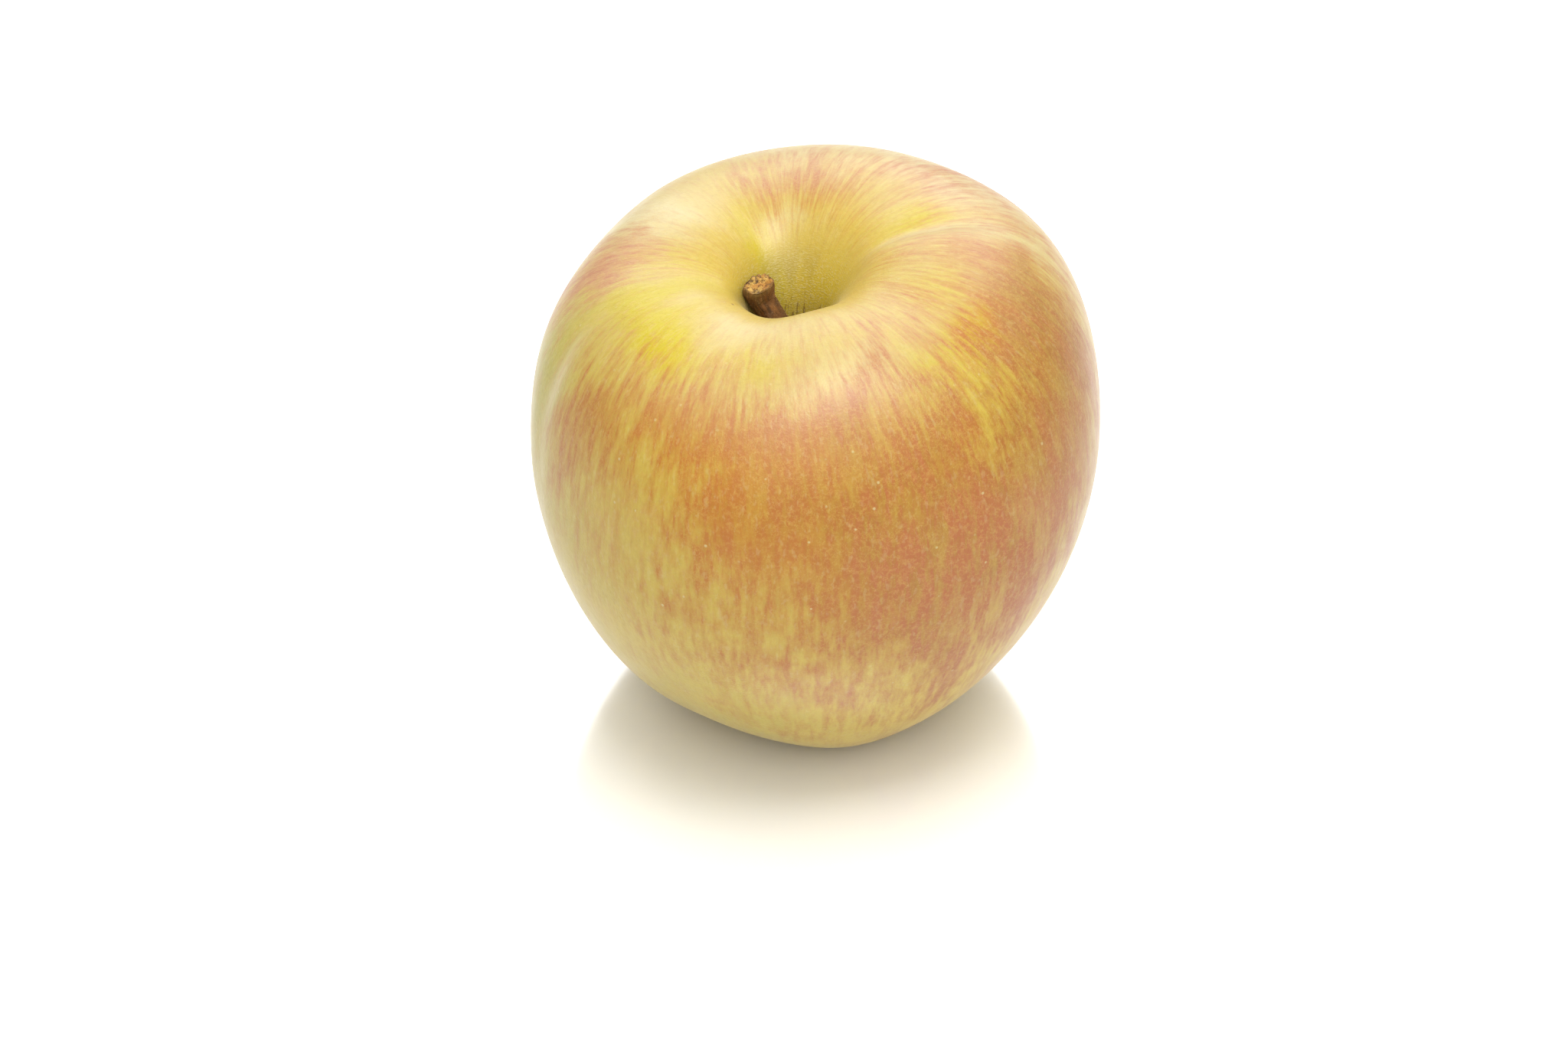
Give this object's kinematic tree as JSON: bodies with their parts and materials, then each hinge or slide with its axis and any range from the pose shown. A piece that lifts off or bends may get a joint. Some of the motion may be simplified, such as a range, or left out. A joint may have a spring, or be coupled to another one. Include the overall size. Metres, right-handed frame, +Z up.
{
  "type": "apple",
  "caption": "Whole ripe apple with a short broken stem in its cavity and a dried calyx underneath, standing on the lobes of its base.",
  "frame": {"origin": "under the middle of the fruit, level with the surface it stands on", "axes": "+Z up through the stem cavity, -Y towards the front, +X to the right seen from the front"},
  "size_m": [0.077, 0.0832, 0.0713],
  "materials": {
    "skin": "smooth waxy apple skin, yellow-green with an orange and red blush",
    "stem": "dry brown woody stalk, pale and rough where it broke",
    "sepal": "dried brown and felted",
    "stamens": "dried dark brown threads"
  },
  "bodies": {
    "root": {"fruit": "skin", "stem": "stem", "sepal_1": "sepal", "sepal_2": "sepal", "sepal_3": "sepal", "sepal_4": "sepal", "sepal_5": "sepal", "stamen_tuft": "stamens"}
  },
  "joints": []
}
